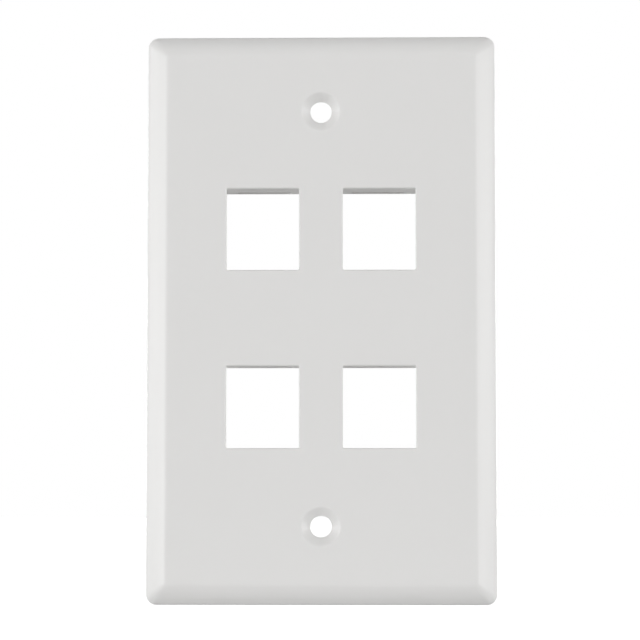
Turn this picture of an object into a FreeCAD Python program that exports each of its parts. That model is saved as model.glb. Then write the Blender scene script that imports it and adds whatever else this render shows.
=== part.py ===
import FreeCAD
import Part

import math
import os

from FreeCAD import Vector

# Four-port keystone faceplate for a single-gang wall box, moulded in one piece of white
# plastic. Millimetres. It stands as it hangs on a wall: X across, Z up, the front facing -Y.
# The rim meets the wall in the plane Y = 0, and the origin is midway between the two screws.

# Skin: skirt, rounded shoulder, convex bevel and flat face, with one wall thickness throughout
PLATE_WIDTH = 70.4
PLATE_HEIGHT = 114.8
PLATE_DEPTH = 5.6  # from the rim to the face
WALL = 2.2
BEVEL_WIDTH = 4.2  # shoulder and bevel, as seen from the front
BEVEL_TILT_AT_FACE = math.radians(17)
BEVEL_TILT_AT_SHOULDER = math.radians(51)
SHOULDER_ROUND = 2.3  # a little more than the corner round, which has to run through it
CORNER_ROUND = 2.1
FACE_EDGE_ROUND = 1.8
INNER_SHOULDER_ROUND = 0.6
INNER_CORNER_ROUND = 0.5

# Ports: a keystone jack goes in from behind until its toe and its latch click into two windows
PORT_WIDTH = 14.6
PORT_HEIGHT = 16.4
PORT_COLUMN_PITCH = 23.4
PORT_ROW_PITCH = 35.7
PORT_CORNER_ROUND = 0.3
PORT_EDGE_BREAK = 0.2
PORT_SIDE_DRAFT = math.radians(2)  # the opening widens towards the back
FRAME_DEPTH = 9.8  # from the face to the back of the latch frame
FRAME_CORNER_ROUND = 0.6
SIDE_SET_BACK = 0.5  # of the frame's side walls behind the opening's edges
SIDE_WALL = 1.6
END_WALL = 1.9
LATCH_POCKET = 2.9  # below the opening, behind the face
WINDOW_WIDTH = 11.0
TOE_WINDOW = (6.6, 8.1)  # front and back of the upper window, from the face
LATCH_WINDOW = (4.0, 8.1)  # the same for the lower one
LEAD_IN = 0.5

# Screw holes: a shallow countersink in the face wall, and a ring behind it that meets the box
SCREW_SPACING = 83.34
SCREW_HOLE_RADIUS = 2.13
SCREW_HOLE_LAND = 0.35  # the straight part of the hole
SINK_RADIUS = 3.85
SINK_HALF_ANGLE = math.radians(50)
SINK_RIM_ROUND = 0.6
RING_INNER_RADIUS = 3.1
RING_OUTER_RADIUS = 4.9

# Ribs and ejector-pin marks behind the face
RIB = 1.2
RIB_BELOW_RIM = 0.8
DRAFT = math.radians(1)
EJECTOR_RADIUS = 2.5
EJECTOR_MARK_DEPTH = 0.15
EJECTOR_COLUMN = 27.2
EJECTOR_ROWS = (-47.0, 0.0, 47.0)

# Worked out from the above
HALF_WIDTH = PLATE_WIDTH / 2
HALF_HEIGHT = PLATE_HEIGHT / 2
FACE_Y = -PLATE_DEPTH
CEILING_Y = FACE_Y + WALL
ROOT_Y = FACE_Y + WALL / 2  # frames, rings and ribs start inside the face wall
FRAME_BACK_Y = FACE_Y + FRAME_DEPTH
SCREW_HEIGHTS = (SCREW_SPACING / 2, -SCREW_SPACING / 2)
PORT_CENTRES = [
    (column * PORT_COLUMN_PITCH / 2, row * PORT_ROW_PITCH / 2)
    for row in (1, -1) for column in (-1, 1)
]
PORT_TOP = PORT_HEIGHT / 2
POCKET_BOTTOM = -PORT_HEIGHT / 2 - LATCH_POCKET
FRAME_INNER = PORT_WIDTH / 2 + SIDE_SET_BACK
FRAME_OUTER = FRAME_INNER + SIDE_WALL
BEVEL_RADIUS = (
    (BEVEL_WIDTH - SHOULDER_ROUND * (1 - math.sin(BEVEL_TILT_AT_SHOULDER)))
    / (math.sin(BEVEL_TILT_AT_SHOULDER) - math.sin(BEVEL_TILT_AT_FACE))
)
BEVEL_CENTRE_IN = BEVEL_WIDTH + BEVEL_RADIUS * math.sin(BEVEL_TILT_AT_FACE)  # from the side
BEVEL_CENTRE_Y = FACE_Y + BEVEL_RADIUS * math.cos(BEVEL_TILT_AT_FACE)
PAST = 1.0  # how far a cutter runs past a face
NEAR = 1e-3  # for finding edges by their place


def block(x, y, z):
    """A box between three pairs of low and high values."""
    return Part.makeBox(x[1] - x[0], y[1] - y[0], z[1] - z[0], Vector(x[0], y[0], z[0]))


def tapered_block(x, y, z, taper):
    """A box whose four sides each come in by taper from y[0] to y[1], or go out if it is negative."""
    low = (x[0], y[0], z[0], z[0] + taper, x[0] + taper)
    high = (x[1], y[1], z[1], z[1] - taper, x[1] - taper)
    return Part.makeWedge(*low, *high)


def drafted_block(x, y, z):
    """A box that stands on y[0] and narrows by the draft angle to its tip."""
    return tapered_block(x, y, z, (y[1] - y[0]) * math.tan(DRAFT))


def across(centre, half_width):
    """The low and high values of a span about its centre."""
    return (centre - half_width, centre + half_width)


def edges_where(shape, test):
    """The edges whose ends and middle all pass the test."""
    found = []
    for edge in shape.Edges:
        middle = edge.valueAt((edge.FirstParameter + edge.LastParameter) / 2)
        if all(test(point) for point in [middle] + [end.Point for end in edge.Vertexes]):
            found.append(edge)
    return found


def crowned_bar(half_side, inset, shoulder_round, back_y, length):
    """A bar along Z with the plate's section, its outline moved inwards by inset."""
    side = half_side - inset
    bevel_radius = BEVEL_RADIUS - inset
    bevel_x = half_side - BEVEL_CENTRE_IN
    shoulder_x = side - shoulder_round
    reach = bevel_radius - shoulder_round
    at_shoulder = math.asin((shoulder_x - bevel_x) / reach)
    at_face = math.acos((BEVEL_CENTRE_Y - FACE_Y - inset) / bevel_radius)
    shoulder_y = BEVEL_CENTRE_Y - reach * math.cos(at_shoulder)

    def on_bevel(hand, tilt):
        x = bevel_x + bevel_radius * math.sin(tilt)
        return Vector(hand * x, BEVEL_CENTRE_Y - bevel_radius * math.cos(tilt), 0)

    def on_shoulder(hand, tilt):
        x = shoulder_x + shoulder_round * math.sin(tilt)
        return Vector(hand * x, shoulder_y - shoulder_round * math.cos(tilt), 0)

    upright = math.pi / 2
    outline = [Part.LineSegment(Vector(-side, back_y, 0), Vector(side, back_y, 0))]
    outline.append(Part.LineSegment(on_bevel(1, at_face), on_bevel(-1, at_face)))
    for hand in (1, -1):
        skirt_end = on_shoulder(hand, upright)
        join = on_shoulder(hand, at_shoulder)
        halfway = on_shoulder(hand, (upright + at_shoulder) / 2)
        bevel_middle = on_bevel(hand, (at_shoulder + at_face) / 2)
        outline.append(Part.LineSegment(Vector(hand * side, back_y, 0), skirt_end))
        outline.append(Part.Arc(skirt_end, halfway, join))
        outline.append(Part.Arc(join, bevel_middle, on_bevel(hand, at_face)))
    wire = Part.Wire(Part.__sortEdges__([piece.toShape() for piece in outline]))
    bar = Part.Face(wire).extrude(Vector(0, 0, length))
    bar.translate(Vector(0, 0, -length / 2))
    return bar


def crowned_block(inset, shoulder_round, corner_round, back_y):
    """Bars of both directions cut to each other, with their mitred corners rounded."""
    upright = crowned_bar(HALF_WIDTH, inset, shoulder_round, back_y, PLATE_HEIGHT)
    level = crowned_bar(HALF_HEIGHT, inset, shoulder_round, back_y, PLATE_WIDTH)
    level.rotate(Vector(), Vector(0, 1, 0), 90)
    solid = upright.common(level)

    def on_mitre(point):
        return abs((HALF_WIDTH - abs(point.x)) - (HALF_HEIGHT - abs(point.z))) < NEAR

    return solid.makeFillet(corner_round, edges_where(solid, on_mitre))


def skin():
    """The open-backed shell: face, bevels and skirt."""
    outside = crowned_block(0, SHOULDER_ROUND, CORNER_ROUND, 0)
    face_edges = edges_where(outside, lambda point: abs(point.y - FACE_Y) < NEAR)
    outside = outside.makeFillet(FACE_EDGE_ROUND, face_edges)
    return outside.cut(crowned_block(WALL, INNER_SHOULDER_ROUND, INNER_CORNER_ROUND, PAST))


def latch_frame(x, z):
    """The walls behind one port, with their hollow still filled."""
    ends = (z + POCKET_BOTTOM - END_WALL, z + PORT_TOP + END_WALL)
    frame = drafted_block(across(x, FRAME_OUTER), (ROOT_Y, FRAME_BACK_Y), ends)
    corners = [edge for edge in frame.Edges if edge.BoundBox.YLength > FRAME_DEPTH / 2]
    return frame.makeFillet(FRAME_CORNER_ROUND, corners)


def port_hollow(x, z):
    """What a jack passes through: the opening, the hollow behind it and the two windows."""
    front, back = FACE_Y - PAST, CEILING_Y + PAST
    front_half, back_half = (
        PORT_WIDTH / 2 + (y - FACE_Y) * math.tan(PORT_SIDE_DRAFT) for y in (front, back)
    )
    low_z, high_z = across(z, PORT_HEIGHT / 2)
    opening = Part.makeWedge(
        x - front_half, front, low_z, low_z, x - back_half,
        x + front_half, back, high_z, high_z, x + back_half,
    )
    corners = [edge for edge in opening.Edges if edge.BoundBox.YLength > WALL]
    opening = opening.makeFillet(PORT_CORNER_ROUND, corners)
    inner_x = across(x, FRAME_INNER)
    inner_z = (z + POCKET_BOTTOM, z + PORT_TOP)
    behind = block(inner_x, (CEILING_Y, FRAME_BACK_Y + PAST), inner_z)
    lead_in = tapered_block(
        inner_x, (FRAME_BACK_Y - LEAD_IN, FRAME_BACK_Y + PAST), inner_z, -LEAD_IN - PAST
    )
    window_x = across(x, WINDOW_WIDTH / 2)
    toe_y = [FACE_Y + depth for depth in TOE_WINDOW]
    toe = block(window_x, toe_y, (z, z + PORT_TOP + END_WALL + PAST))
    latch_y = [FACE_Y + depth for depth in LATCH_WINDOW]
    latch = block(window_x, latch_y, (z + POCKET_BOTTOM - END_WALL - PAST, z))
    return opening.fuse([behind, lead_in, toe, latch])


def ring(z):
    """The post round one screw hole, as deep as the rim, with its bore still filled."""
    length = -ROOT_Y
    base = RING_OUTER_RADIUS + length * math.tan(DRAFT)
    return Part.makeCone(base, RING_OUTER_RADIUS, length, Vector(0, ROOT_Y, z), Vector(0, 1, 0))


def screw_hole(z):
    """The countersink, the hole and the ring's bore, turned round the screw's axis."""
    mouth_radius = SINK_RADIUS + PAST * math.tan(SINK_HALF_ANGLE)
    land_y = FACE_Y + (SINK_RADIUS - SCREW_HOLE_RADIUS) / math.tan(SINK_HALF_ANGLE)
    bore_y = land_y + SCREW_HOLE_LAND
    section = [
        Vector(0, FACE_Y - PAST, z),
        Vector(mouth_radius, FACE_Y - PAST, z),
        Vector(SCREW_HOLE_RADIUS, land_y, z),
        Vector(SCREW_HOLE_RADIUS, bore_y, z),
        Vector(RING_INNER_RADIUS, bore_y, z),
        Vector(RING_INNER_RADIUS, PAST, z),
        Vector(0, PAST, z),
    ]
    face = Part.Face(Part.makePolygon(section + section[:1]))
    return face.revolve(Vector(0, 0, z), Vector(0, 1, 0), 360)


def ribs():
    """A spine through both rings, a rib across each row and one up each column."""
    depth = (ROOT_Y, -RIB_BELOW_RIM)
    made = [drafted_block(across(0, RIB / 2), depth, across(0, HALF_HEIGHT))]
    for row in (-1, 1):
        row_z = across(row * PORT_ROW_PITCH / 2, RIB / 2)
        made.append(drafted_block(across(0, HALF_WIDTH), depth, row_z))
    for column in (-1, 1):
        column_x = across(column * PORT_COLUMN_PITCH / 2, RIB / 2)
        made.append(drafted_block(column_x, depth, across(0, PORT_ROW_PITCH / 2)))
    mid_wall = crowned_block(WALL / 2, SHOULDER_ROUND - WALL / 2, CORNER_ROUND - WALL / 2, PAST)
    return [rib.common(mid_wall) for rib in made]


def ejector_marks():
    """Shallow round marks that the mould's pins leave behind the face."""
    floor_y = CEILING_Y - EJECTOR_MARK_DEPTH
    places = [(side * EJECTOR_COLUMN, row) for side in (-1, 1) for row in EJECTOR_ROWS]
    return [
        Part.makeCylinder(EJECTOR_RADIUS, WALL, Vector(x, floor_y, z), Vector(0, 1, 0))
        for x, z in places
    ]


def break_front_edges(plate):
    """Chamfers the openings' edges and rounds the countersinks' rims on the face."""

    def on_face(point):
        return abs(point.y - FACE_Y) < NEAR

    def at_port(point):
        return on_face(point) and any(
            abs(point.x - x) < PORT_WIDTH / 2 + NEAR and abs(point.z - z) < PORT_HEIGHT / 2 + NEAR
            for x, z in PORT_CENTRES
        )

    def at_sink(point):
        return on_face(point) and any(
            math.hypot(point.x, point.z - z) < SINK_RADIUS + NEAR for z in SCREW_HEIGHTS
        )

    plate = plate.makeChamfer(PORT_EDGE_BREAK, edges_where(plate, at_port))
    return plate.makeFillet(SINK_RIM_ROUND, edges_where(plate, at_sink))


def faceplate():
    added = [latch_frame(x, z) for x, z in PORT_CENTRES]
    added += [ring(z) for z in SCREW_HEIGHTS] + ribs()
    removed = [port_hollow(x, z) for x, z in PORT_CENTRES]
    removed += [screw_hole(z) for z in SCREW_HEIGHTS] + ejector_marks()
    plate = skin().fuse(added).cut(removed).removeSplitter()
    return break_front_edges(plate)


os.makedirs("parts", exist_ok=True)
plate = faceplate()
plate.exportStep("parts/faceplate.step")
print("faceplate", "valid" if plate.isValid() else "not valid", len(plate.Solids), "solid,",
      len(plate.Faces), "faces,", round(plate.Volume / 1000, 2), "cm3")
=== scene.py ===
import math

import bpy
from mathutils import Euler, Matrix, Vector


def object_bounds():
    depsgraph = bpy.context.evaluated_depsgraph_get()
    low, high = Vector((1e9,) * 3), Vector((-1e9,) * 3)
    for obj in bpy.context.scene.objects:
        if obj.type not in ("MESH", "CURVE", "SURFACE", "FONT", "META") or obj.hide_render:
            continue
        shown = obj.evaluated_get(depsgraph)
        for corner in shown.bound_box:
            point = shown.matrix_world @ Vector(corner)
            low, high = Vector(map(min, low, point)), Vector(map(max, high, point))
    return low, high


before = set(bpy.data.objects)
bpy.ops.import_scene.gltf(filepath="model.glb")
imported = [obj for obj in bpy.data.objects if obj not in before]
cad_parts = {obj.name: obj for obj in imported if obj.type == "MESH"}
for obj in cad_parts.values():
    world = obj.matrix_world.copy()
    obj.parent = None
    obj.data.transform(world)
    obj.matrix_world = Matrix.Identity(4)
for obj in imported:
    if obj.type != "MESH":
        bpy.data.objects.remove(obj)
cadLow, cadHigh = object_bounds()
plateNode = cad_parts["faceplate"]
print("frame loaded:", [round(1000 * size, 2) for size in cadHigh - cadLow], "mm")


class Wire:  # a node tree's socket, with the sums that the materials use
    def __init__(self, tree, socket=None):
        self.tree, self.socket = tree, socket

    def node(self, kind, settings=None, outlet=0, **sockets):
        made = self.tree.nodes.new(kind)
        for name, value in (settings or {}).items():
            setattr(made, name, value)
        for name, value in sockets.items():  # by name, or i0, i1 and so on where names repeat
            byNumber = name[0] == "i" and name[1:].isdigit()
            inlet = made.inputs[int(name[1:]) if byNumber else name.replace("_", " ")]
            if isinstance(value, Wire):
                self.tree.links.new(value.socket, inlet)
            else:
                inlet.default_value = value
        return Wire(self.tree, made.outputs[outlet] if made.outputs else None)

    def outlet(self, name):  # another output of the same node
        return Wire(self.tree, self.socket.node.outputs[name])

    def maths(self, operation, first, second=0.0):
        return self.node("ShaderNodeMath", {"operation": operation}, i0=first, i1=second)

    def __add__(self, other):
        return self.maths("ADD", self, other)

    def __radd__(self, other):
        return self.maths("ADD", other, self)

    def __sub__(self, other):
        return self.maths("SUBTRACT", self, other)

    def __rsub__(self, other):
        return self.maths("SUBTRACT", other, self)

    def __mul__(self, other):
        return self.maths("MULTIPLY", self, other)

    def __rmul__(self, other):
        return self.maths("MULTIPLY", other, self)

    def __abs__(self):
        return self.maths("ABSOLUTE", self)


def newTree(owner):
    owner.use_nodes = True
    owner.node_tree.nodes.clear()
    return Wire(owner.node_tree)


# Satin white plastic, sizes in metres
plastic = {
    "colour": (0.795, 0.790, 0.780, 1),
    "paler": (0.805, 0.800, 0.790, 1),
    "roughness": 0.36,
    "refraction": 1.5,
    "cloudSize": 0.016,  # slight changes in shade and gloss
    "cloudDetail": 3.0,
    "cloudGloss": 0.06,
    "grainSize": 0.00022,  # spark-eroded texture
    "grainDetail": 2.0,
    "grainGloss": 0.05,
    "grainHeight": 0.000004,
    "edgeRound": 0.00012,  # every moulded edge is this soft
    "edgeSamples": 6,
}

# Where the mould's core made the surface: the hollow back and the walls of the openings
coreSide = {
    "roughness": 0.85,  # left dull
    "grain": 0.3,  # share of the grain's height
    "hollow": (0.0332, 0.0554),  # half width and half height
    "hollowFront": -0.0035,
    "portPlace": (0.0117, 0.01785),  # centre of each opening, across and up
    "port": (0.00750, 0.00840),  # half width and half height
    "portFront": -0.0052,
    "fade": 0.0003,
}


def within(value, limit):  # 1 below the limit and 0 above it
    return value.node(
        "ShaderNodeMapRange", Value=value, From_Min=limit + coreSide["fade"], From_Max=limit
    )


def coreMask(place):
    across = place.node("ShaderNodeSeparateXYZ", Vector=place)
    forward, sideways, upward = 0 - across.outlet("Y"), abs(across), abs(across.outlet("Z"))
    halfWidth, halfHeight = coreSide["hollow"]
    hollow = within(sideways, halfWidth) * within(upward, halfHeight)
    hollow = hollow * within(forward, -coreSide["hollowFront"])
    portX, portZ = coreSide["portPlace"]
    halfWidth, halfHeight = coreSide["port"]
    ports = within(abs(sideways - portX), halfWidth) * within(abs(upward - portZ), halfHeight)
    ports = ports * within(forward, -coreSide["portFront"])
    return place.maths("MAXIMUM", hollow, ports)


def satinPlastic():
    material = bpy.data.materials.new("satinWhitePlastic")
    tree = newTree(material)
    place = tree.node("ShaderNodeTexCoord", outlet="Object")
    core = coreMask(place)
    grain = tree.node(
        "ShaderNodeTexNoise",
        Vector=place,
        Scale=1 / plastic["grainSize"],
        Detail=plastic["grainDetail"],
    )
    cloud = tree.node(
        "ShaderNodeTexNoise",
        Vector=place,
        Scale=1 / plastic["cloudSize"],
        Detail=plastic["cloudDetail"],
    )
    edges = tree.node(
        "ShaderNodeBevel", {"samples": plastic["edgeSamples"]}, Radius=plastic["edgeRound"]
    )
    bump = tree.node(
        "ShaderNodeBump",
        Height=grain * (1 - (1 - coreSide["grain"]) * core),
        Distance=plastic["grainHeight"],
        Strength=1.0,
        Normal=edges,
    )
    shade = tree.node(
        "ShaderNodeMix",
        {"data_type": "RGBA"},
        outlet=2,
        Factor=cloud,
        i6=plastic["colour"],
        i7=plastic["paler"],
    )
    duller = core * (coreSide["roughness"] - plastic["roughness"])
    uneven = plastic["cloudGloss"] * (cloud - 0.5) + plastic["grainGloss"] * (grain - 0.5)
    shader = tree.node(
        "ShaderNodeBsdfPrincipled",
        Base_Color=shade,
        Roughness=plastic["roughness"] + duller + uneven,
        IOR=plastic["refraction"],
        Normal=bump,
    )
    tree.node("ShaderNodeOutputMaterial", Surface=shader)
    return material


plateNode.data.materials.clear()
plateNode.data.materials.append(satinPlastic())
print("plate finished")

# Floor, background and lamps, sizes in metres
studio = {
    "floorDrop": 0.020,  # below the plate's lower edge, as it hangs on a wall
    "floorSize": 4.0,
    "floorColour": (0.8, 0.8, 0.8, 1),
    "floorGlow": 0.78,  # near the plate: with the lamps on it, about white
    "whiteFrom": 0.16,  # past this distance it is white by itself
    "white": (1, 1, 1, 1),
    "sunPower": 1.555,
    "suns": {  # name: turn from the front, height, softness in degrees, share of the power
        "left": (-90, 0, 30, 0.463),
        "leftSlant": (-70, 0, 30, 0.336),
        "leftFront": (-50, 0, 30, 0.647),
        "frontLeft": (-30, 0, 30, 0.350),
        "frontRight": (30, 0, 30, 0.066),
        "rightFront": (50, 0, 30, 0.598),
        "rightSlant": (70, 0, 30, 0.407),
        "right": (90, 0, 30, 0.465),
        "front": (0, 45, 40, 0.181),
        "top": (0, 80, 40, 0.142),
        "backLeft": (-168, 0, 20, 0.72),
        "backRight": (168, 0, 20, 0.72),
    },
}

camera = {
    "place": (0.00981, -0.4595, -0.0315),
    "turn": (93.912, 0, 1.26),  # degrees
    "sensor": 36.0,
    "lens": 127.87,
    "nearest": 0.01,
    "farthest": 20.0,
}


def seenWhite(tree):  # 1 for rays that meet the background, 0 for those that light the plate
    rays = tree.node("ShaderNodeLightPath", outlet="Is Camera Ray")
    seen = rays + rays.outlet("Is Glossy Ray") + rays.outlet("Is Transmission Ray")
    return tree.maths("MINIMUM", seen, 1.0)


def paleFloor():
    material = bpy.data.materials.new("paleFloor")
    tree = newTree(material)
    place = tree.node("ShaderNodeTexCoord", outlet="Object")
    reach = tree.node("ShaderNodeVectorMath", {"operation": "LENGTH"}, outlet=1, i0=place)
    whiteFrom, nearGlow = studio["whiteFrom"], studio["floorGlow"]
    far = tree.node("ShaderNodeMapRange", Value=reach, From_Min=whiteFrom / 2, From_Max=whiteFrom)
    strength = seenWhite(tree) * (nearGlow + far * (1 - nearGlow))
    glow = tree.node("ShaderNodeEmission", Color=studio["white"], Strength=strength)
    diffuse = tree.node("ShaderNodeBsdfDiffuse", Color=studio["floorColour"])
    lit = tree.node("ShaderNodeAddShader", i0=diffuse, i1=glow)
    clear = tree.node("ShaderNodeBsdfTransparent")
    under = tree.node("ShaderNodeNewGeometry", outlet="Backfacing")
    sided = tree.node("ShaderNodeMixShader", i0=under, i1=lit, i2=clear)
    tree.node("ShaderNodeOutputMaterial", Surface=sided)
    return material


def makeFloor():
    height = cadLow.z - studio["floorDrop"]
    bpy.ops.mesh.primitive_plane_add(size=studio["floorSize"], location=(0, 0, height))
    floor = bpy.context.object
    floor.name = "floor"
    floor.data.materials.append(paleFloor())
    floor.visible_shadow = False  # the lower half of each level lamp shines through it


def makeWorld():
    world = bpy.data.worlds.new("studio")
    bpy.context.scene.world = world
    tree = newTree(world)
    background = tree.node("ShaderNodeBackground", Color=studio["white"], Strength=seenWhite(tree))
    tree.node("ShaderNodeOutputWorld", Surface=background)


def makeLamps():
    for name, (turn, height, softness, share) in studio["suns"].items():
        lamp = bpy.data.lights.new(name, "SUN")
        lamp.energy, lamp.angle = share * studio["sunPower"], math.radians(softness)
        holder = bpy.data.objects.new(name, lamp)
        bpy.context.collection.objects.link(holder)
        turn, height = math.radians(turn), math.radians(height)
        level = math.cos(height)
        toLamp = Vector((math.sin(turn) * level, -math.cos(turn) * level, math.sin(height)))
        holder.rotation_euler = (-toLamp).to_track_quat("-Z", "Y").to_euler()


def makeCamera():
    lens = bpy.data.cameras.new("camera")
    lens.sensor_width, lens.lens = camera["sensor"], camera["lens"]
    lens.clip_start, lens.clip_end = camera["nearest"], camera["farthest"]
    holder = bpy.data.objects.new("camera", lens)
    bpy.context.collection.objects.link(holder)
    holder.location = camera["place"]
    holder.rotation_euler = Euler([math.radians(angle) for angle in camera["turn"]])
    bpy.context.scene.camera = holder


makeFloor()
makeWorld()
makeLamps()
makeCamera()
bpy.context.scene.view_settings.view_transform = "Standard"
print("studio ready")
